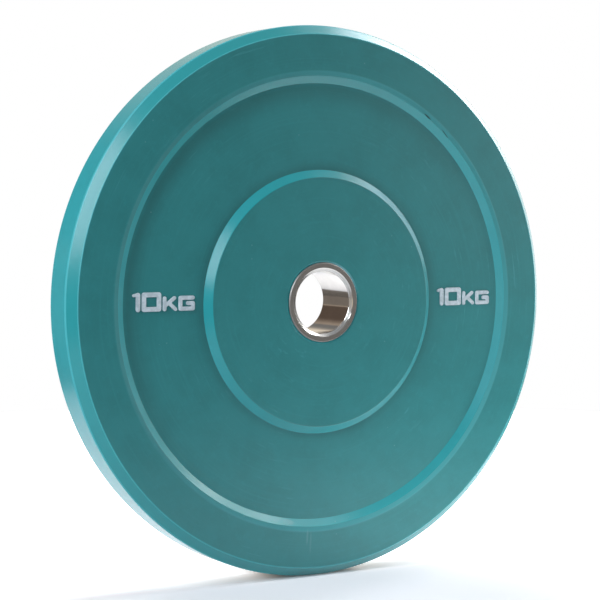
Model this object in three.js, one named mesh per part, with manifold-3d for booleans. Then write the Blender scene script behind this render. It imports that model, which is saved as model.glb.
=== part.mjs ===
// A 10 kg bumper plate: a moulded rubber disc around a steel hub, for a weightlifting bar.
// Sizes are millimetres. The bore runs along Y, the front looks towards -Y and +Z is up.
// The origin is the middle of the bore, halfway between the two faces.
import * as THREE from 'three';
import { mergeVertices } from 'three/addons/utils/BufferGeometryUtils.js';
import Module from 'manifold-3d';

const wasm = await Module();
wasm.setup();

// Rubber disc: the tread is the outer edge, the rim stands over the web, and so does the boss
const plateRadius = 225;
const rimThickness = 42;
const webThickness = 33.2;
const bossThickness = 43.6;
const treadChamfer = 7.5;
const rimFaceWidth = 30.3;
const rimShoulderWidth = 3.4;
const rimShoulderDepth = 0.5;
const rimBevelWidth = 5.8;
const bossFaceRadius = 101.8;
const bossBevelWidth = 6;
const hubLipWidth = 1.5;
const hubLipDepth = 0.6;

// Steel sleeve: its ends stand just proud of the boss, and its bore widens at both mouths
const boreRadius = 25.5;
const sleeveWall = 7;
const sleeveProud = 0.6;
const mouthWidth = 2.6;
const mouthDepth = 2.4;
const sleeveEdgeChamfer = 0.7;
const collarHeight = 2.5;
const collarWidth = 4;

// Steel anchor flange: rubber fills its holes and ties the disc to the hub
const flangeWidth = 17.2;
const flangeThickness = 5;
const flangeHoleRadius = 4.5;
const flangeHoleCount = 8;

// Weight marks: raised strokes of pale rubber, set in shallow pockets in the web
const digitHeight = 15;
const capitalHeight = 11.7;
const oneWidth = 6.8;
const zeroWidth = 16.8;
const kWidth = 12.5;
const gWidth = 14.2;
const digitStroke = 3.7;
const capitalStroke = 3.2;
const armStroke = 2.9;
const flagStroke = 2.4;
const letterGap = 1.35;
const letterProud = 1;
const letterRoot = 1.5;
const leftMarkRise = 4.2;
const rightMarkRise = 1.2;

// Fits and cuts
const clearance = 0.3;
const overrun = 1;

// Fineness of the round shapes
const facetCount = 96;
const holeFacetCount = 16;
const strokeEndSteps = 3;

const sleeveRadius = boreRadius + sleeveWall;
const sleeveHalf = bossThickness / 2 + sleeveProud;
const hubHoleRadius = sleeveRadius + clearance;
const collarRadius = sleeveRadius + collarHeight;
const flangeRadius = hubHoleRadius + flangeWidth;
const webInnerRadius = bossFaceRadius + bossBevelWidth;
const rimFaceRadius = plateRadius - treadChamfer - rimFaceWidth;
const webOuterRadius = rimFaceRadius - rimShoulderWidth - rimBevelWidth;
const markRadius = (webInnerRadius + webOuterRadius) / 2;
const facetAngle = 2 * Math.PI / facetCount;

// Strokes run from x, y to x, y, in shares of the space between a glyph's outermost stroke centres
const zeroStrokeShares = [[0, 0, 1, 0], [1, 0, 1, 1], [1, 1, 0, 1], [0, 1, 0, 0]];
const gStrokeShares = [[1, 1, 0, 1], [0, 1, 0, 0], [0, 0, 1, 0], [1, 0, 1, 0.5], [1, 0.5, 0.6, 0.5]];
const stemShares = { one: [1, 0, 1, 1], k: [0, 0, 0, 1] };
const flagShares = [-0.2, 0.97, 0.8, 1.03];
const armShares = [[0, 0.28, 0.93, 1.02], [0.38, 0.58, 1.02, -0.02]];

const rubber = (colour, roughness) => new THREE.MeshStandardMaterial({
  color: colour,
  roughness,
  metalness: 0,
  flatShading: true,
});

const steel = (colour, roughness) => new THREE.MeshStandardMaterial({
  color: colour,
  roughness,
  metalness: 1,
  flatShading: true,
});

// A closed solid from a three.js geometry
function solidOf(geometry) {
  const bare = geometry.clone();
  bare.deleteAttribute('normal');
  bare.deleteAttribute('uv');
  const welded = mergeVertices(bare);
  const mesh = new wasm.Mesh({
    numProp: 3,
    vertProperties: new Float32Array(welded.attributes.position.array),
    triVerts: new Uint32Array(welded.index.array),
  });
  return new wasm.Manifold(mesh);
}

function geometryOf(solid) {
  const { vertProperties, triVerts } = solid.getMesh();
  const geometry = new THREE.BufferGeometry();
  geometry.setAttribute('position', new THREE.BufferAttribute(vertProperties, 3));
  geometry.setIndex(new THREE.BufferAttribute(triVerts, 1));
  geometry.computeVertexNormals();
  return geometry;
}

function pieceOf(name, solid, material) {
  const mesh = new THREE.Mesh(geometryOf(solid), material);
  mesh.name = name;
  return mesh;
}

// A turned ring from a profile of [radius, y], whose facets touch the true circle
function turned(profile) {
  const closed = [...profile, profile[0]];
  const points = closed.map(([radius, y]) => new THREE.Vector2(radius / Math.cos(facetAngle / 2), y));
  return solidOf(new THREE.LatheGeometry(points, facetCount, facetAngle / 2));
}

// A profile's front half, mirrored to the rear in reverse order
const mirrored = (frontHalf) => frontHalf.map(([radius, y]) => [radius, -y]).reverse();

// Round bars along Y, one through each hole of the flange
function flangeBars(radius, length) {
  const pitchRadius = (hubHoleRadius + flangeRadius) / 2;
  const bars = [];
  for (let i = 0; i < flangeHoleCount; i += 1) {
    const angle = 2 * Math.PI * (i + 0.5) / flangeHoleCount;
    const bar = new THREE.CylinderGeometry(radius, radius, length, holeFacetCount);
    bar.translate(pitchRadius * Math.cos(angle), 0, pitchRadius * Math.sin(angle));
    bars.push(solidOf(bar));
  }
  return bars;
}

function hubSleeve() {
  const frontHalf = [
    [boreRadius, mouthDepth - sleeveHalf],
    [boreRadius + mouthWidth, -sleeveHalf],
    [sleeveRadius - sleeveEdgeChamfer, -sleeveHalf],
    [sleeveRadius, sleeveEdgeChamfer - sleeveHalf],
  ];
  const collar = [
    [sleeveRadius, flangeThickness / 2],
    [collarRadius, flangeThickness / 2],
    [collarRadius, flangeThickness / 2 + collarWidth],
    [sleeveRadius, flangeThickness / 2 + collarWidth],
  ];
  return turned([...frontHalf, ...collar, ...mirrored(frontHalf)]);
}

function anchorFlange() {
  const ring = turned([
    [hubHoleRadius, -flangeThickness / 2],
    [flangeRadius, -flangeThickness / 2],
    [flangeRadius, flangeThickness / 2],
    [hubHoleRadius, flangeThickness / 2],
  ]);
  const drills = flangeBars(flangeHoleRadius, flangeThickness + 2 * overrun);
  return drills.reduce((rest, drill) => rest.subtract(drill), ring);
}

// The disc before its marks: the groove inside it holds the flange and the sleeve's collar
function moulding() {
  const rimHalf = rimThickness / 2;
  const bossHalf = bossThickness / 2;
  const webHalf = webThickness / 2;
  const frontHalf = [
    [hubHoleRadius, hubLipDepth - bossHalf],
    [hubHoleRadius + hubLipWidth, -bossHalf],
    [bossFaceRadius, -bossHalf],
    [webInnerRadius, -webHalf],
    [webOuterRadius, -webHalf],
    [webOuterRadius + rimBevelWidth, rimShoulderDepth - rimHalf],
    [rimFaceRadius, -rimHalf],
    [plateRadius - treadChamfer, -rimHalf],
    [plateRadius, treadChamfer - rimHalf],
  ];
  const grooveHalf = flangeThickness / 2 + clearance;
  const groove = [
    [hubHoleRadius, grooveHalf + collarWidth],
    [collarRadius + clearance, grooveHalf + collarWidth],
    [collarRadius + clearance, grooveHalf],
    [flangeRadius + clearance, grooveHalf],
    [flangeRadius + clearance, -grooveHalf],
    [hubHoleRadius, -grooveHalf],
  ];
  const ring = turned([...frontHalf, ...mirrored(frontHalf), ...groove]);
  const pegs = flangeBars(flangeHoleRadius - clearance, 2 * (grooveHalf + overrun));
  return pegs.reduce((body, peg) => body.add(peg), ring);
}

// One straight stroke with round ends, standing on its plane from z = floor to z = top
function strokeBar([x1, y1, x2, y2], radius, floor, top) {
  const run = new THREE.Vector2(x2 - x1, y2 - y1);
  const outline = new THREE.Shape();
  outline.absarc(run.length(), 0, radius, -Math.PI / 2, Math.PI / 2);
  outline.absarc(0, 0, radius, Math.PI / 2, 3 * Math.PI / 2);
  const bar = new THREE.ExtrudeGeometry(outline, {
    depth: top - floor,
    bevelEnabled: false,
    curveSegments: strokeEndSteps,
  });
  bar.rotateZ(run.angle());
  bar.translate(x1, y1, floor);
  return solidOf(bar);
}

// A glyph's strokes in real sizes, from its shares and the width of its own main stroke
function glyph(name, width, height, mainStroke, groups) {
  const placed = groups.map(({ shares, stroke }) => ({
    stroke,
    lines: shares.map(([x1, y1, x2, y2]) => [
      mainStroke / 2 + x1 * (width - mainStroke),
      mainStroke / 2 + y1 * (height - mainStroke),
      mainStroke / 2 + x2 * (width - mainStroke),
      mainStroke / 2 + y2 * (height - mainStroke),
    ]),
  }));
  return { name, width, groups: placed };
}

const glyphs = [
  glyph('digit_1', oneWidth, digitHeight, digitStroke, [
    { shares: [stemShares.one], stroke: digitStroke },
    { shares: [flagShares], stroke: flagStroke },
  ]),
  glyph('digit_0', zeroWidth, digitHeight, digitStroke, [
    { shares: zeroStrokeShares, stroke: digitStroke },
  ]),
  glyph('letter_k', kWidth, capitalHeight, capitalStroke, [
    { shares: [stemShares.k], stroke: capitalStroke },
    { shares: armShares, stroke: armStroke },
  ]),
  glyph('letter_g', gWidth, capitalHeight, capitalStroke, [
    { shares: gStrokeShares, stroke: capitalStroke },
  ]),
];

const markWidth = glyphs.reduce((sum, { width }) => sum + width, 0) + letterGap * (glyphs.length - 1);

// A glyph's solid, grown by spread on every side of its outline
function glyphSolid({ groups }, spread, floor, top) {
  const bars = groups.flatMap(({ lines, stroke }) => (
    lines.map((line) => strokeBar(line, stroke / 2 + spread, floor, top))
  ));
  return bars.reduce((joined, bar) => joined.add(bar));
}

// One mark in its own plane: x runs along the line of text and z out of the web
function mark(prefix, spread, floor, top) {
  const group = new THREE.Group();
  let pen = -markWidth / 2;
  for (const each of glyphs) {
    const solid = glyphSolid(each, spread, floor, top);
    const letter = pieceOf(`${prefix}_${each.name}`, solid, rubber(0xb9bfc3, 0.6));
    letter.position.set(pen, -digitHeight / 2, 0);
    group.add(letter);
    pen += each.width + letterGap;
  }
  return group;
}

// Both marks on both faces, each reading upright from its own side
function marks(spread, floor, top) {
  const all = new THREE.Group();
  for (const [face, turn] of [['front', 0], ['rear', Math.PI]]) {
    const side = new THREE.Group();
    side.rotation.z = turn;
    for (const [hand, x, rise] of [['left', -markRadius, leftMarkRise], ['right', markRadius, rightMarkRise]]) {
      const group = mark(`${face}_${hand}`, spread, floor, top);
      group.position.set(x, -webThickness / 2, rise);
      group.rotation.x = Math.PI / 2;
      side.add(group);
    }
    all.add(side);
  }
  all.updateMatrixWorld(true);
  return all;
}

function rubberDisc() {
  const pocketTop = (bossThickness - webThickness) / 2 + overrun;
  const pockets = [];
  marks(clearance, -letterRoot - clearance, pocketTop).traverse((node) => {
    if (node.isMesh) pockets.push(solidOf(node.geometry.clone().applyMatrix4(node.matrixWorld)));
  });
  return pockets.reduce((rest, pocket) => rest.subtract(pocket), moulding());
}

const bumperPlate = new THREE.Group();
bumperPlate.add(pieceOf('rubber_disc', rubberDisc(), rubber(0x2f7477, 0.55)));
bumperPlate.add(pieceOf('hub_sleeve', hubSleeve(), steel(0xb7b3ad, 0.25)));
bumperPlate.add(pieceOf('anchor_flange', anchorFlange(), steel(0x77787a, 0.5)));
bumperPlate.add(marks(0, -letterRoot, letterProud));

export default bumperPlate;
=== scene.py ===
import math

import bpy
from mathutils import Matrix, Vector


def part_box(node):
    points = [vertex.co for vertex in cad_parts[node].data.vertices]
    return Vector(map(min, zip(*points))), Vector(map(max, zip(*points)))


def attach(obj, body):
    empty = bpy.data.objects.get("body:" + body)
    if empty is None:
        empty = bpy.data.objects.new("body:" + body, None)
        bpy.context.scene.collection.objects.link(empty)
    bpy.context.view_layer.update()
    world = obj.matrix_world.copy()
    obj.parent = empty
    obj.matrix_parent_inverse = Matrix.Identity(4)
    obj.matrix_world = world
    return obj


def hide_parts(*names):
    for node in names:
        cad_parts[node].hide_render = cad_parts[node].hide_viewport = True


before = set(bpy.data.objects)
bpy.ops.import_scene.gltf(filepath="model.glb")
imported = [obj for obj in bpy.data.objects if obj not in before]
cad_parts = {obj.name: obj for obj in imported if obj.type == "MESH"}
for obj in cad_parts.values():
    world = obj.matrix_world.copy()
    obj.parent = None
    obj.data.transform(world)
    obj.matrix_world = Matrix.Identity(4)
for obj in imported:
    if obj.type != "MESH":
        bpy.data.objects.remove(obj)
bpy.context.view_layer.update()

# Sizes that the frame holds
mm = 0.001
plate_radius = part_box("rubber_disc")[1].x
boss_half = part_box("rubber_disc")[1].y
collar_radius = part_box("hub_sleeve")[1].x
sleeve_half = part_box("hub_sleeve")[1].y
flange_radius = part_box("anchor_flange")[1].x
flange_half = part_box("anchor_flange")[1].y

# Rubber disc
rim_half = 21 * mm
web_half = 16.6 * mm
tread_chamfer = 7.5 * mm
rim_face_width = 30.3 * mm
rim_shoulder_width = 3.4 * mm
rim_shoulder_depth = 0.5 * mm
rim_bevel_width = 5.8 * mm
boss_face_radius = 101.8 * mm
boss_bevel_width = 6 * mm
hub_lip_width = 1.5 * mm
hub_lip_depth = 0.6 * mm
groove_play = 0.3 * mm
rim_face_radius = plate_radius - tread_chamfer - rim_face_width
rim_bevel_radius = rim_face_radius - rim_shoulder_width
web_outer_radius = rim_bevel_radius - rim_bevel_width
web_inner_radius = boss_face_radius + boss_bevel_width

# Steel sleeve
bore_radius = 25.5 * mm
sleeve_radius = 32.5 * mm
mouth_width = 2.6 * mm
mouth_depth = 1.8 * mm
sleeve_edge_chamfer = 0.7 * mm
collar_width = 4 * mm

# Fillets at the corners of the turned profiles, and the reach of the wear beside them
crisp = 0.15 * mm
small = 0.4 * mm
middling = 0.9 * mm
broad = 1.6 * mm
wear_reach = 0.7 * mm

# Shade on the web beside the rim and beside the boss
rim_shade_reach = 20 * mm
rim_shade_gap = 4 * mm
boss_shade_reach = 9 * mm

# Small damage on the front: angle from +X towards +Z, radius, length, width, outward lean and strength
nicks = [
    (56.0, 184.6 * mm, 10 * mm, 1.5 * mm, -4.0, 1.0),
    (48.9, 184.2 * mm, 12 * mm, 1.1 * mm, -8.0, 0.8),
]
rubbed_patches = [
    (258.6, 181.0 * mm, 24 * mm, 6 * mm, 0.0, 0.5),
    (265.6, 192.0 * mm, 16 * mm, 2 * mm, 90.0, 0.22),
    (266.6, 197.0 * mm, 22 * mm, 2 * mm, 90.0, 0.18),
]

# Raised letters
letter_voxel = 0.25 * mm
letter_smoothing = 6

# Fineness
turn_steps = 512
arc_steps = 6

# Camera, with its lens and sensor in millimetres
camera_place = Vector((-811.7, -1346.4, 84.5)) * mm
camera_aim = Vector((-6.76, 4.08, 0.9)) * mm
camera_lens = 114.52
sensor_width = 36

# Floor, and the patch in front of the plate where it doesn't glow: a painted shadow, in which the plate's own
# shadow shows
floor_radius = 1.25
floor_steps = 96
dim_floor_place = Vector((-0.05, -0.14, -plate_radius))
dim_floor_reach = 0.10
dim_floor_blur = 0.35
dim_floor_glow = 0.03

# Soft steps across the floor, each from the place where it is 0 to the place where it is 1
# The first three shape the painted shadow along the contact
behind_plate = (-38 * mm, 38 * mm)
left_of_contact = (-20 * mm, -60 * mm)
right_of_contact = (22 * mm, 45 * mm)
near_plate = (0.75, 0.25)
right_of_plate = (-0.12, 0.20)
just_behind_plate = (0.0, 0.08)
past_paper_behind = (0.56, 0.62)
past_paper_in_front = (0.45, 0.70)
past_paper_at_right = (0.38, 0.52)

# Directions on the floor that these steps are measured along
plate_back_way = Vector((0.07, 1, 0))
paper_back_way = Vector((-0.34, 0.94, 0))
paper_front_way = Vector((-0.25, -0.97, 0))

# Strength of the floor's glow in reflections: everywhere, near the plate, and its shares left and behind
mirrored_everywhere = 0.15
mirrored_near = 0.65
mirrored_left_share = 0.15
mirrored_back_share = 1.25

# Where reflections find the middle of the backdrop, the corner and the doorway
backdrop_way = Vector((0.51, 0.86, 0.10))
corner_way = Vector((-0.60, 0.80, 0.08))
doorway_way = Vector((-0.60, -0.80, -0.02))

# Soft steps round those directions, in the cosine of the angle to them
backdrop_side = (0.58, 0.72)
corner_side = (0.66, 0.72)
corner_paling = (0.86, 0.68)
doorway_side = (0.980, 0.992)

# Soft steps in the height of reflections, from -1 straight down to 1 straight up
ceiling_start = (0.55, 0.85)
backdrop_top = (0.50, 0.34)
white_top = (0.30, 0.10)
drab_top = (0.13, 0.12)
ledge_bottom = (0.105, 0.12)
ledge_top = (0.155, 0.14)

# Lamps
lamp_distance = 2.0
floor_lamp_height = 2 * mm

# Texture scales of the rubber: the noise of its mottling, fine mottling, scuff patches and grain,
# the cells of its dust specks, and how far streaks and scuffs are drawn out along the turn
mottle_scale = 38.0
fine_mottle_scale = 210.0
scuff_patch_scale = 9.0
grain_scale = 900.0
speck_scale = 150.0
streak_stretch = (1.3, 1.3, 520.0)
scuff_stretch = (5.0, 5.0, 300.0)

# Texture scales of the steel: its lathe grooves on the end faces and in the bore
face_groove_stretch = (0.8, 0.8, 5200.0)
bore_groove_scale = 3600.0
bore_groove_drift = 60.0

# Colours of the rubber, in linear light
face_teal = (0.0180, 0.179, 0.187, 1)
face_deep = (0.0155, 0.162, 0.169, 1)
face_light = (0.0220, 0.202, 0.211, 1)
# A paler teal for the rim's shoulder: painted light
painted_shoulder_light = (0.056, 0.282, 0.302, 1)
scuffed = (0.055, 0.270, 0.285, 1)
# A dark teal for the web beside the steps: painted shade
painted_shade = (0.010, 0.070, 0.072, 1)
# The slopes, the chamfer and the tread are lighter teals than the flat faces: painted light
boss_bevel = (0.0120, 0.256, 0.280, 1)
# Painted sheens on the boss bevel and the rim bevel, and a painted highlight on the boss bevel
boss_bevel_sheen = (0.046, 0.262, 0.286, 1)
boss_bevel_highlight = (0.152, 0.400, 0.460, 1)
rim_bevel = (0.0230, 0.262, 0.284, 1)
rim_bevel_sheen = (0.044, 0.275, 0.300, 1)
chamfer_teal = (0.0150, 0.250, 0.266, 1)
tread_teal = (0.0220, 0.304, 0.332, 1)
worn_teal = (0.055, 0.400, 0.440, 1)
dust = (0.220, 0.370, 0.380, 1)
cut = (0.003, 0.020, 0.024, 1)


def rounded(corners):
    """A closed profile as (radius, y, normal radius, normal y, edge) points.

    It comes from (radius, y, fillet) corners, which run counter-clockwise.
    Edge is 1 on a proud corner, -1 in a hollow one and 0 on a flat."""
    points = []
    for index, (radius, y, fillet) in enumerate(corners):
        here = Vector((radius, y))
        before = Vector(corners[index - 1][:2])
        after = Vector(corners[(index + 1) % len(corners)][:2])
        coming = (here - before).normalized()
        leaving = (after - here).normalized()
        start_angle = math.atan2(coming.y, coming.x)
        turn = math.remainder(math.atan2(leaving.y, leaving.x) - start_angle, math.tau)
        side = math.copysign(1, turn)
        reach = fillet * math.tan(abs(turn) / 2)
        start = here - coming * reach
        centre = start + Vector((-coming.y, coming.x)) * side * fillet
        arc = []
        for step in range(arc_steps + 1):
            heading = start_angle + turn * step / arc_steps
            outward = Vector((math.sin(heading), -math.cos(heading)))
            place = centre + outward * side * fillet
            arc.append((*place, *outward, side))
        if (start - before).length > 4 * wear_reach:
            calm = start - coming * wear_reach
            points.append((*calm, coming.y, -coming.x, 0))
        points.extend(arc)
        if (after - here).length > 4 * wear_reach + reach:
            calm = here + leaving * (reach + wear_reach)
            points.append((*calm, leaving.y, -leaving.x, 0))
    return points


def mirrored(front_half):
    """A profile's front half, followed by its mirror image at the rear in reverse order."""
    return front_half + [(radius, -y, fillet) for radius, y, fillet in reversed(front_half)]


def turned(name, corners, material):
    """A smooth ring turned about Y from a closed profile of rounded corners."""
    profile = rounded(corners)
    count = len(profile)
    vertices, normals, edges, faces = [], [], [], []
    for step in range(turn_steps):
        angle = math.tau * step / turn_steps
        across, up = math.cos(angle), math.sin(angle)
        for radius, y, normal_radius, normal_y, edge in profile:
            vertices.append((radius * across, y, radius * up))
            normals.append((normal_radius * across, normal_y, normal_radius * up))
            edges.append(edge)
        this_turn = step * count
        next_turn = (step + 1) % turn_steps * count
        for index in range(count):
            following = (index + 1) % count
            this_side = (this_turn + index, this_turn + following)
            next_side = (next_turn + following, next_turn + index)
            faces.append(this_side + next_side)
    mesh = bpy.data.meshes.new(name)
    mesh.from_pydata(vertices, [], faces)
    mesh.attributes.new("edge", "FLOAT", "POINT").data.foreach_set("value", edges)
    mesh.polygons.foreach_set("use_smooth", [True] * len(faces))
    mesh.normals_split_custom_set_from_vertices(normals)
    mesh.materials.append(material)
    ring = bpy.data.objects.new(name, mesh)
    bpy.context.collection.objects.link(ring)
    return ring


def dress(piece, node):
    """The piece stands for a CAD node and moves with the plate."""
    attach(piece, "root")
    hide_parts(node)


def rubber_disc(material):
    """The disc, hollow inside where the flange and the sleeve's collar sit."""
    front_half = [
        (sleeve_radius, hub_lip_depth - boss_half, crisp),
        (sleeve_radius + hub_lip_width, -boss_half, small),
        (boss_face_radius, -boss_half, broad),
        (web_inner_radius, -web_half, small),
        (web_outer_radius, -web_half, small),
        (rim_bevel_radius, rim_shoulder_depth - rim_half, middling),
        (rim_face_radius, -rim_half, broad),
        (plate_radius - tread_chamfer, -rim_half, small),
        (plate_radius, tread_chamfer - rim_half, broad),
    ]
    groove_half = flange_half + groove_play
    groove = [
        (sleeve_radius, groove_half + collar_width, crisp),
        (collar_radius + groove_play, groove_half + collar_width, crisp),
        (collar_radius + groove_play, groove_half, crisp),
        (flange_radius + groove_play, groove_half, crisp),
        (flange_radius + groove_play, -groove_half, crisp),
        (sleeve_radius, -groove_half, crisp),
    ]
    disc = turned("teal_disc", mirrored(front_half) + groove, material)
    dress(disc, "rubber_disc")


def hub_sleeve(material):
    """The sleeve, with a mouth at each end of its bore and a collar inside the rubber."""
    front_half = [
        (bore_radius, mouth_depth - sleeve_half, middling),
        (bore_radius + mouth_width, -sleeve_half, small),
        (sleeve_radius - sleeve_edge_chamfer, -sleeve_half, crisp),
        (sleeve_radius, sleeve_edge_chamfer - sleeve_half, crisp),
    ]
    collar = [
        (sleeve_radius, flange_half, crisp),
        (collar_radius, flange_half, crisp),
        (collar_radius, flange_half + collar_width, crisp),
        (sleeve_radius, flange_half + collar_width, crisp),
    ]
    rear_half = mirrored(front_half)[len(front_half):]
    sleeve = turned("steel_sleeve", front_half + collar + rear_half, material)
    dress(sleeve, "hub_sleeve")


def raised_letter(node, material):
    """A moulded letter with soft edges, from the outline of its CAD node."""
    rough = bpy.data.objects.new("rough_letter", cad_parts[node].data.copy())
    bpy.context.collection.objects.link(rough)
    remesh = rough.modifiers.new("even_out", "REMESH")
    remesh.mode = "VOXEL"
    remesh.voxel_size = letter_voxel
    remesh.use_smooth_shade = True
    soften = rough.modifiers.new("soften", "SMOOTH")
    soften.iterations = letter_smoothing
    depsgraph = bpy.context.evaluated_depsgraph_get()
    mesh = bpy.data.meshes.new_from_object(rough.evaluated_get(depsgraph))
    bpy.data.objects.remove(rough)
    mesh.materials.clear()
    mesh.materials.append(material)
    letter = bpy.data.objects.new("raised_" + node, mesh)
    bpy.context.collection.objects.link(letter)
    dress(letter, node)


class Shading:
    """Adds nodes to a node tree by calls that return their output sockets."""

    def __init__(self, tree):
        self.nodes = tree.nodes
        self.links = tree.links

    def node(self, kind, settings=None, **inputs):
        made = self.nodes.new(kind)
        for name, value in (settings or {}).items():
            setattr(made, name, value)
        for name, value in inputs.items():
            self.feed(made.inputs[name.replace("_", " ")], value)
        return made

    def feed(self, socket, value):
        if isinstance(value, bpy.types.NodeSocket):
            self.links.new(value, socket)
        else:
            socket.default_value = value

    def math(self, operation, *values):
        made = self.node("ShaderNodeMath", {"operation": operation})
        for socket, value in zip(made.inputs, values):
            self.feed(socket, value)
        return made.outputs[0]

    def product(self, *values):
        result = values[0]
        for value in values[1:]:
            result = self.math("MULTIPLY", result, value)
        return result

    def total(self, *values):
        result = values[0]
        for value in values[1:]:
            result = self.math("ADD", result, value)
        return result

    def between(self, value, low, high):
        """0 at low and 1 at high, with a smooth step from one to the other."""
        made = self.node("ShaderNodeMapRange", {"interpolation_type": "SMOOTHSTEP"}, Value=value)
        made.inputs["From Min"].default_value = low
        made.inputs["From Max"].default_value = high
        return made.outputs[0]

    def noise(self, vector, scale=1.0, detail=2.0, roughness=0.5):
        made = self.node("ShaderNodeTexNoise", Vector=vector, Scale=scale, Detail=detail, Roughness=roughness)
        return made.outputs[0]

    def mix(self, factor, first, second):
        made = self.node("ShaderNodeMix", {"data_type": "RGBA"})
        self.feed(made.inputs[0], factor)
        self.feed(made.inputs[6], first)
        self.feed(made.inputs[7], second)
        return made.outputs[2]

    def cover(self, colour, paint, *shares):
        """The colour under some paint, which covers it by the product of the shares."""
        return self.mix(self.product(*shares), colour, paint)

    def rest(self, share):
        """What a share leaves of 1."""
        return self.math("SUBTRACT", 1.0, share)

    def vector(self, *parts):
        made = self.node("ShaderNodeCombineXYZ")
        for socket, part in zip(made.inputs, parts):
            self.feed(socket, part)
        return made.outputs[0]

    def vector_math(self, operation, output, *vectors):
        made = self.node("ShaderNodeVectorMath", {"operation": operation})
        for socket, vector in zip(made.inputs, vectors):
            self.feed(socket, vector)
        return made.outputs[output]

    def scaled(self, vector, factors):
        return self.vector_math("MULTIPLY", "Vector", vector, factors)

    def along(self, vector, direction):
        """How far a vector reaches along a direction, or for a unit vector the cosine between them."""
        return self.vector_math("DOT_PRODUCT", "Value", vector, direction.normalized())


class Surface(Shading):
    """A material on the plate, with the polar coordinates of a turned piece."""

    def __init__(self, name):
        self.material = bpy.data.materials.new(name)
        self.material.use_nodes = True
        super().__init__(self.material.node_tree)
        self.shader = self.nodes["Principled BSDF"]
        coordinates = self.node("ShaderNodeTexCoord")
        self.place = coordinates.outputs["Object"]
        self.normal = coordinates.outputs["Normal"]
        split = self.node("ShaderNodeSeparateXYZ", Vector=self.place)
        across, self.depth, up = split.outputs
        self.radius = self.math("SQRT", self.total(self.product(across, across), self.product(up, up)))
        outward = (self.math("DIVIDE", across, self.radius), self.math("DIVIDE", up, self.radius))
        self.polar = self.vector(*outward)
        self.swept = self.vector(*outward, self.radius)

    def edge(self):
        return self.node("ShaderNodeAttribute", {"attribute_name": "edge"}).outputs["Fac"]

    def band(self, inner, outer, blur):
        """1 between two radii, with a soft border outside both."""
        outside_inner = self.between(self.radius, inner - blur, inner)
        inside_outer = self.between(self.radius, outer + blur, outer)
        return self.product(outside_inner, inside_outer)

    def towards(self, across, up):
        """The cosine between the way out from the axis and a direction across and up."""
        return self.along(self.polar, Vector((across, up, 0)))

    def spot(self, angle, radius, length, width, lean, strength):
        """A soft long spot on the front. It lies along the turn, or leans outwards by some degrees."""
        turn = math.radians(angle)
        tilt = turn + math.radians(90 + lean)
        centre = Vector((radius * math.cos(turn), 0, radius * math.sin(turn)))
        along = Vector((math.cos(tilt), 0, math.sin(tilt)))
        outward = Vector((math.sin(tilt), 0, -math.cos(tilt)))
        shares = []
        for direction, size in ((along, length), (outward, width)):
            offset = self.math("SUBTRACT", self.along(self.place, direction), centre.dot(direction))
            share = self.math("DIVIDE", offset, size / 2)
            shares.append(self.product(share, share))
        inside = self.between(self.total(*shares), 1.0, 0.2)
        return self.product(inside, self.between(self.depth, 0.0, -web_half), strength)

    def bump(self, height, distance, strength):
        made = self.node("ShaderNodeBump", Height=height, Distance=distance, Strength=strength)
        self.feed(self.shader.inputs["Normal"], made.outputs[0])

    def finish(self, colour, roughness, metallic=0.0):
        self.feed(self.shader.inputs["Base Color"], colour)
        self.feed(self.shader.inputs["Roughness"], roughness)
        self.shader.inputs["Metallic"].default_value = metallic
        return self.material


def rubber_face(surface, mottle, streaks):
    """The colour of the flat faces: mottled, streaked by turning and scuffed, with painted light on the rim's
    shoulder and painted shade on the web beside the steps.
    """
    fine_mottle = surface.noise(surface.place, fine_mottle_scale, detail=3.0, roughness=0.6)
    scuff_space = surface.scaled(surface.swept, scuff_stretch)
    scuffs = surface.between(surface.noise(scuff_space, detail=4.0, roughness=0.6), 0.60, 0.72)
    scuff_patches = surface.between(surface.noise(surface.place, scuff_patch_scale), 0.50, 0.64)
    colour = surface.mix(surface.between(mottle, 0.32, 0.62), face_deep, face_teal)
    colour = surface.cover(colour, face_light, surface.between(fine_mottle, 0.5, 0.8), 0.5)
    colour = surface.cover(colour, face_light, surface.between(streaks, 0.5, 0.8), 0.5)
    colour = surface.cover(colour, scuffed, scuffs, scuff_patches, 0.55)
    # Painted light on the rim's shoulder, strongest at the right
    shoulder = surface.band(rim_bevel_radius, rim_face_radius, broad)
    shoulder_light_right = surface.between(surface.towards(1, -0.15), -0.85, 0.30)
    shoulder_light_share = surface.total(0.22, surface.product(shoulder_light_right, 0.53))
    colour = surface.cover(colour, painted_shoulder_light, shoulder, shoulder_light_share)
    # Painted shade on the web: beside the rim, mostly at the upper left, and beside the boss
    full_rim_shade = web_outer_radius - rim_shade_gap
    rim_side = surface.between(surface.radius, web_outer_radius - rim_shade_reach, full_rim_shade)
    rim_side = surface.product(rim_side, surface.between(surface.radius, web_outer_radius, full_rim_shade))
    upper_left = surface.between(surface.towards(-0.64, 0.77), -0.5, 0.7)
    boss_side = surface.between(surface.radius, web_inner_radius + boss_shade_reach, web_inner_radius)
    outside_boss = surface.between(surface.radius, boss_face_radius, web_inner_radius)
    shade_by_rim = surface.product(rim_side, upper_left, 0.30)
    shade_by_boss = surface.product(boss_side, outside_boss, 0.20)
    return surface.mix(surface.total(shade_by_rim, shade_by_boss), colour, painted_shade)


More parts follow.
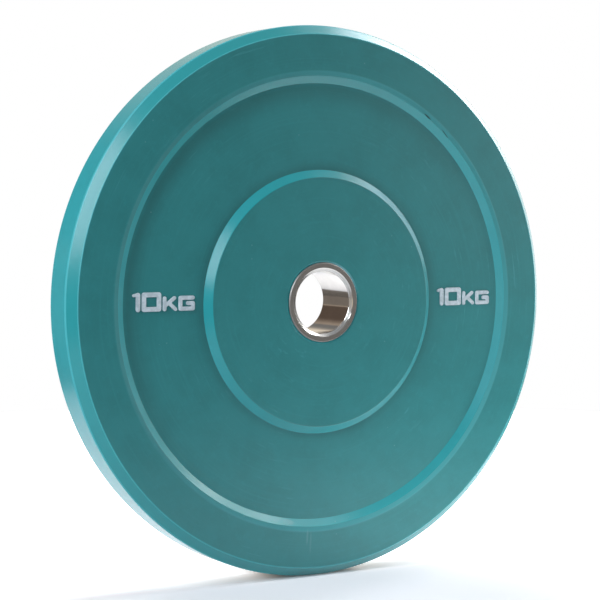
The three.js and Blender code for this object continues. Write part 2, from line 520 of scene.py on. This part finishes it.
def rubber_bevels(surface, mottle, frontness, at_chamfer):
    """The colour of the slopes and the tread, lighter than the faces as painted light, with painted sheens at
    the right and the left and a painted highlight at the boss bevel's upper right.
    """
    rightwards = surface.towards(1, 0)
    # Painted sheens on the boss bevel's right half and on the rim bevel's left and right, and a painted
    # highlight at the boss bevel's upper right
    boss_sheen_share = surface.between(rightwards, 0.0, 0.45)
    rim_sheen_share = surface.between(surface.math("ABSOLUTE", rightwards), 0.75, 0.95)
    boss_highlight_share = surface.between(surface.towards(0.71, 0.70), 0.85, 0.99)
    on_boss = surface.mix(boss_sheen_share, boss_bevel, boss_bevel_sheen)
    on_boss = surface.mix(boss_highlight_share, on_boss, boss_bevel_highlight)
    on_rim = surface.mix(rim_sheen_share, rim_bevel, rim_bevel_sheen)
    at_rim = surface.between(surface.radius, web_inner_radius, web_outer_radius)
    at_tread = surface.between(frontness, 0.45, 0.10)
    colour = surface.mix(at_rim, on_boss, on_rim)
    colour = surface.mix(at_chamfer, colour, chamfer_teal)
    colour = surface.mix(at_tread, colour, tread_teal)
    return surface.cover(colour, face_teal, surface.between(mottle, 0.45, 0.75), 0.15)


def dust_specks(surface):
    """1 on a few of the small cells that the surface is divided into, each a round speck."""
    cells = surface.node("ShaderNodeTexVoronoi", Vector=surface.place, Scale=speck_scale)
    inside = surface.between(cells.outputs["Distance"], 0.10, 0.05)
    lot = surface.node("ShaderNodeSeparateColor", Color=cells.outputs["Color"]).outputs[0]
    return surface.product(inside, surface.between(lot, 0.965, 0.97))


def teal_rubber():
    """Moulded rubber, turned on its faces and worn at its corners, with nicks, rubbed patches and dust,
    painted shade on the web and painted light on the slopes, the tread and the rim's shoulder.
    """
    surface = Surface("teal_rubber")
    frontness = surface.math("ABSOLUTE", surface.along(surface.normal, Vector((0, 1, 0))))
    flatness = surface.between(frontness, 0.90, 0.98)
    at_chamfer = surface.between(surface.radius, rim_face_radius, plate_radius - tread_chamfer)
    mottle = surface.noise(surface.place, mottle_scale, detail=6.0, roughness=0.62)
    streak_space = surface.scaled(surface.swept, streak_stretch)
    streaks = surface.noise(streak_space, detail=3.0, roughness=0.55)
    face = rubber_face(surface, mottle, streaks)
    bevels = rubber_bevels(surface, mottle, frontness, at_chamfer)
    colour = surface.mix(flatness, bevels, face)
    worn = surface.product(surface.between(surface.edge(), 0.2, 0.9), at_chamfer)
    colour = surface.cover(colour, worn_teal, worn, 0.7)
    for patch in rubbed_patches:
        colour = surface.cover(colour, dust, surface.spot(*patch), surface.between(mottle, 0.3, 0.7))
    nick = 0.0
    for slit in nicks:
        nick = surface.math("MAXIMUM", nick, surface.spot(*slit))
    colour = surface.cover(colour, cut, nick, 0.95)
    speck = dust_specks(surface)
    colour = surface.cover(colour, dust, speck, 0.35)
    roughness = surface.total(0.20, surface.product(flatness, 0.09), surface.product(mottle, 0.05))
    roughness = surface.total(roughness, surface.product(streaks, 0.04), surface.product(nick, 0.3))
    roughness = surface.total(roughness, surface.product(worn, 0.3))
    grain = surface.noise(surface.place, grain_scale)
    relief = surface.total(surface.product(grain, 0.25), surface.product(streaks, 0.4))
    relief = surface.total(relief, surface.product(speck, 0.6))
    surface.bump(surface.product(relief, flatness), distance=0.05 * mm, strength=0.4)
    return surface.finish(colour, roughness)


def hub_steel():
    """Turned steel, polished in the bore, duller in the mouth and dark with painted shade where it meets the
    rubber.
    """
    surface = Surface("hub_steel")
    steel = (0.58, 0.555, 0.53, 1)
    shade = (0.54, 0.515, 0.49, 1)
    pale = (0.68, 0.66, 0.64, 1)
    dull = (0.44, 0.43, 0.415, 1)
    dark = (0.12, 0.12, 0.115, 1)
    face_grooves = surface.noise(surface.scaled(surface.swept, face_groove_stretch))
    along_bore = surface.product(surface.depth, bore_groove_scale)
    out_of_bore = surface.product(surface.radius, bore_groove_drift)
    bore_grooves = surface.noise(surface.vector(along_bore, out_of_bore))
    grooves = surface.total(surface.product(face_grooves, 0.5), surface.product(bore_grooves, 0.5))
    patches = surface.noise(surface.place, scale=90.0, detail=4.0, roughness=0.6)
    edge_start = sleeve_radius - sleeve_edge_chamfer
    outer_edge = surface.between(surface.radius, edge_start - crisp, edge_start + crisp)
    mouth = surface.band(bore_radius + middling, bore_radius + mouth_width - middling, middling)
    colour = surface.mix(surface.between(patches, 0.35, 0.7), shade, steel)
    colour = surface.cover(colour, pale, surface.between(grooves, 0.5, 0.7), 0.4)
    colour = surface.cover(colour, pale, surface.between(surface.edge(), 0.2, 0.9), 0.6)
    # Painted shade on the outer chamfer, in the seam against the rubber
    colour = surface.cover(colour, dark, outer_edge, 0.85)
    colour = surface.cover(colour, dull, mouth)
    roughness = surface.total(0.06, surface.product(patches, 0.03), surface.product(grooves, 0.06))
    roughness = surface.total(roughness, surface.product(mouth, 0.20), surface.product(outer_edge, 0.35))
    surface.bump(grooves, distance=0.001 * mm, strength=0.1)
    return surface.finish(colour, roughness, metallic=1.0)


def flange_steel():
    """Rough hot-rolled steel with scale and spots of rust."""
    surface = Surface("flange_steel")
    steel = (0.30, 0.30, 0.31, 1)
    scale = (0.12, 0.115, 0.11, 1)
    rust = (0.18, 0.09, 0.05, 1)
    patches = surface.noise(surface.place, scale=55.0, detail=5.0, roughness=0.6)
    grain = surface.noise(surface.place, scale=700.0, detail=3.0)
    colour = surface.mix(surface.between(patches, 0.35, 0.65), scale, steel)
    colour = surface.cover(colour, rust, surface.between(patches, 0.62, 0.75), 0.5)
    roughness = surface.total(0.42, surface.product(grain, 0.2))
    surface.bump(grain, distance=0.05 * mm, strength=0.5)
    return surface.finish(colour, roughness, metallic=1.0)


def mark_rubber():
    """Pale rubber, patchy and a little dirty."""
    surface = Surface("mark_rubber")
    pale = (0.51, 0.585, 0.635, 1)
    grey = (0.38, 0.455, 0.50, 1)
    dirt = (0.20, 0.32, 0.33, 1)
    patches = surface.noise(surface.place, scale=230.0, detail=4.0, roughness=0.6)
    spots = surface.noise(surface.place, scale=800.0)
    colour = surface.mix(surface.between(patches, 0.35, 0.65), grey, pale)
    colour = surface.cover(colour, dirt, surface.between(spots, 0.62, 0.72), 0.35)
    roughness = surface.total(0.50, surface.product(patches, 0.15))
    relief = surface.total(surface.product(spots, 0.3), patches)
    surface.bump(relief, distance=0.06 * mm, strength=0.5)
    return surface.finish(colour, roughness)


def studio_reflections(sky, heading):
    """What the steel and the rubber reflect: a white backdrop, a dim room, a brown corner and a doorway."""
    room = (0.245, 0.242, 0.235, 1)
    ceiling = (0.52, 0.55, 0.58, 1)
    cream = (1.0, 0.88, 0.72, 1)
    white = (1.0, 1.0, 1.0, 1)
    brown = (0.150, 0.110, 0.086, 1)
    drab = (0.27, 0.235, 0.205, 1)
    beige = (0.50, 0.41, 0.33, 1)
    up = sky.node("ShaderNodeSeparateXYZ", Vector=heading).outputs[2]
    colour = sky.mix(sky.between(up, *ceiling_start), room, ceiling)
    backdrop = sky.between(sky.along(heading, backdrop_way), *backdrop_side)
    backdrop = sky.product(backdrop, sky.between(up, *backdrop_top))
    colour = sky.mix(backdrop, colour, cream)
    colour = sky.cover(colour, white, backdrop, sky.between(up, *white_top))
    toward_corner = sky.along(heading, corner_way)
    corner = sky.between(toward_corner, *corner_side)
    above_ledge = sky.mix(sky.between(toward_corner, *corner_paling), brown, beige)
    corner_wall = sky.mix(sky.between(up, *drab_top), above_ledge, drab)
    colour = sky.mix(corner, colour, corner_wall)
    ledge = sky.product(sky.between(up, *ledge_bottom), sky.between(up, *ledge_top))
    colour = sky.cover(colour, beige, corner, ledge)
    doorway = sky.between(sky.along(heading, doorway_way), *doorway_side)
    return sky.mix(doorway, colour, cream)


def studio_world():
    """White to the camera, a studio in reflections, and a faint even light on everything else."""
    world = bpy.data.worlds.new("studio")
    world.use_nodes = True
    sky = Shading(world.node_tree)
    background = sky.nodes["Background"]
    path = sky.node("ShaderNodeLightPath")
    heading = sky.node("ShaderNodeTexCoord").outputs["Generated"]
    white = (1.0, 1.0, 1.0, 1)
    fill = (0.06, 0.06, 0.06, 1)
    seen = studio_reflections(sky, heading)
    reflected = sky.math("MAXIMUM", path.outputs["Is Glossy Ray"], path.outputs["Is Transmission Ray"])
    colour = sky.mix(reflected, fill, seen)
    colour = sky.mix(path.outputs["Is Camera Ray"], colour, white)
    sky.feed(background.inputs["Color"], colour)
    background.inputs["Strength"].default_value = 1.0
    bpy.context.scene.world = world


def sheet_of_light(name, place, backward, width, height, brightness, tint=(1, 1, 1)):
    """A rectangular lamp that the camera doesn't see. Its back looks backward and it shines the other way."""
    light = bpy.data.lights.new(name, "AREA")
    light.shape = "RECTANGLE"
    light.size = width
    light.size_y = height
    light.energy = math.pi * width * height * brightness
    light.color = tint
    lamp = bpy.data.objects.new(name, light)
    lamp.location = place
    lamp.rotation_euler = backward.to_track_quat("Z", "Y").to_euler()
    lamp.visible_camera = False
    bpy.context.collection.objects.link(lamp)
    return lamp


# Each lamp's name, bearing in degrees from +X towards +Y, climb in degrees, width, height and brightness
lamps = [
    ("key_left", 193.5, 32, 0.52, 1.38, 15.4),
    ("left_front", 216, 27, 0.26, 1.18, 9.2),
    ("front_left", 239, 25, 0.26, 0.31, 8.0),
    ("key_right", 350, 35, 0.26, 0.93, 14.0),
    ("beside_key_right", 357.5, 30, 0.13, 0.45, 15.0),
    ("low_right", 342, 12, 0.26, 0.62, 13.0),
    ("right_front", 335, 35, 0.26, 0.31, 11.0),
    ("high_right", 0, 59, 0.45, 0.60, 1.7),
    ("right_back", 18, 30, 0.40, 1.24, 11.0),
    ("high_right_back", 12, 52, 0.26, 0.35, 10.0),
    ("low_right_back", 30, 5, 0.52, 0.60, 0.8),
    ("front_right_low", 315, 5, 0.52, 0.60, 1.8),
    ("front_right_high", 315, 41, 0.42, 0.60, 2.6),
    ("back", 68, 40, 0.80, 1.00, 2.1),
]

# The lamps that are windows, a little bluer than the others
windows = ["key_left", "left_front", "front_left", "beside_key_right", "high_right", "high_right_back"]
daylight = (0.88, 0.955, 1.02)

# The lamps that shine through the backdrop and show no shape of their own in reflections
behind_backdrop = ["back"]

# Light that the brightest parts of the floor throw up
# Each has a name, middle across, middle back, width, depth and brightness
bright_floor = [
    ("floor_back", 0.125, 0.30, 0.25, 0.40, 4.8),
    ("floor_back_left", -0.125, 0.30, 0.25, 0.40, 1.2),
    ("floor_right", 0.425, 0.025, 0.35, 0.15, 5.0),
    ("floor_front_right", 0.425, -0.15, 0.35, 0.20, 2.6),
    ("floor_front", 0.150, -0.15, 0.25, 0.20, 2.0),
]


def studio_lamps():
    for name, bearing, climb, width, height, brightness in lamps:
        turn = math.radians(bearing)
        lift = math.radians(climb)
        level = math.cos(lift)
        direction = Vector((math.cos(turn) * level, math.sin(turn) * level, math.sin(lift)))
        tint = daylight if name in windows else (1, 1, 1)
        sheet = sheet_of_light(name, direction * lamp_distance, direction, width, height, brightness, tint)
        sheet.visible_glossy = name not in behind_backdrop
    for name, across, back, width, depth, brightness in bright_floor:
        place = Vector((across, back, floor_lamp_height - plate_radius))
        sheet = sheet_of_light(name, place, Vector((0, 0, -1)), width, depth, brightness)
        sheet.visible_glossy = False


def floor_disc():
    """A flat round mesh at the height of the plate's lowest point."""
    rim = []
    for step in range(floor_steps):
        angle = math.tau * step / floor_steps
        rim.append((floor_radius * math.cos(angle), floor_radius * math.sin(angle), -plate_radius))
    mesh = bpy.data.meshes.new("floor")
    mesh.from_pydata(rim, [], [tuple(range(floor_steps))])
    return mesh


def lit_floor(tree, place, across):
    """1 where the floor glows fully to the camera, and 0 in the dim patch in front of the plate, which is a
    painted shadow.
    """
    from_dim = tree.vector_math("DISTANCE", "Value", place, dim_floor_place)
    beyond_dim = tree.between(from_dim, dim_floor_reach, dim_floor_reach + dim_floor_blur)
    beyond_plate = tree.between(tree.along(place, plate_back_way), *behind_plate)
    at_left = tree.between(across, *left_of_contact)
    at_right = tree.between(across, *right_of_contact)
    beside_contact = tree.math("MAXIMUM", at_left, at_right)
    return tree.math("MAXIMUM", beyond_dim, tree.product(beyond_plate, beside_contact))


def mirrored_glow(tree, place, across, back):
    """How strongly the floor glows in reflections: most near the plate, behind it and at its right."""
    distance = tree.vector_math("LENGTH", "Value", tree.scaled(place, (1, 1, 0)))
    rightness = tree.between(across, *right_of_plate)
    side = tree.total(mirrored_left_share, tree.product(rightness, 1 - mirrored_left_share))
    backness = tree.between(back, *just_behind_plate)
    side = tree.math("MAXIMUM", side, tree.product(backness, mirrored_back_share))
    near = tree.between(distance, *near_plate)
    return tree.total(mirrored_everywhere, tree.product(near, side, mirrored_near))


def past_paper(tree, place, across):
    """1 where the white paper on the floor has ended, behind the plate, in front of it and at its right."""
    behind = tree.between(tree.along(place, paper_back_way), *past_paper_behind)
    in_front = tree.between(tree.along(place, paper_front_way), *past_paper_in_front)
    at_right = tree.between(across, *past_paper_at_right)
    return tree.math("MAXIMUM", tree.math("MAXIMUM", behind, in_front), at_right)


def floor_white():
    """White paper, which glows to the camera outside the dim patch, a painted shadow with a warm tint. In
    reflections it ends in bare boards.
    """
    paper = (0.750, 0.745, 0.775, 1)
    boards = (0.22, 0.19, 0.165, 1)
    white = (1, 1, 1, 1)
    shadow_warmth = (1.0, 0.80, 0.68, 1)
    material = bpy.data.materials.new("floor_white")
    material.use_nodes = True
    tree = Shading(material.node_tree)
    tree.nodes.clear()
    place = tree.node("ShaderNodeTexCoord").outputs["Object"]
    across, back, _ = tree.node("ShaderNodeSeparateXYZ", Vector=place).outputs
    path = tree.node("ShaderNodeLightPath")
    by_camera = path.outputs["Is Camera Ray"]
    by_others = tree.rest(by_camera)
    shown = tree.math("MAXIMUM", by_camera, path.outputs["Is Glossy Ray"])
    shown = tree.math("MAXIMUM", shown, path.outputs["Is Transmission Ray"])
    lit = lit_floor(tree, place, across)
    to_camera = tree.total(dim_floor_glow, tree.product(lit, 1 - dim_floor_glow))
    to_others = mirrored_glow(tree, place, across, back)
    strength = tree.total(tree.product(by_camera, to_camera), tree.product(by_others, to_others))
    bare = tree.product(past_paper(tree, place, across), by_others)
    strength = tree.product(strength, tree.rest(bare))
    paint = tree.node("ShaderNodeBsdfDiffuse", Color=tree.mix(bare, paper, boards))
    # The painted shadow's warm tint, seen by the camera where the floor is dim
    glow_colour = tree.cover(white, shadow_warmth, by_camera, tree.rest(lit))
    glow = tree.node("ShaderNodeEmission", Color=glow_colour, Strength=tree.product(shown, strength))
    both = tree.node("ShaderNodeAddShader")
    tree.feed(both.inputs[0], paint.outputs[0])
    tree.feed(both.inputs[1], glow.outputs[0])
    output = tree.node("ShaderNodeOutputMaterial")
    tree.feed(output.inputs["Surface"], both.outputs[0])
    return material


def pale_floor():
    """A white round floor, which keeps the plate's shadow."""
    mesh = floor_disc()
    mesh.materials.append(floor_white())
    floor = bpy.data.objects.new("floor", mesh)
    bpy.context.collection.objects.link(floor)


def photo_camera():
    data = bpy.data.cameras.new("camera")
    data.lens = camera_lens
    data.sensor_width = sensor_width
    camera = bpy.data.objects.new("camera", data)
    camera.location = camera_place
    camera.rotation_euler = (camera_aim - camera_place).to_track_quat("-Z", "Y").to_euler()
    bpy.context.collection.objects.link(camera)
    bpy.context.scene.camera = camera


photo_camera()
rubber_disc(teal_rubber())
hub_sleeve(hub_steel())
mark_material = mark_rubber()
for node_name in sorted(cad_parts):
    if "digit" in node_name or "letter" in node_name:
        raised_letter(node_name, mark_material)
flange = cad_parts["anchor_flange"]
flange.data.materials.clear()
flange.data.materials.append(flange_steel())
studio_world()
studio_lamps()
pale_floor()
bpy.context.scene.view_settings.view_transform = "Standard"
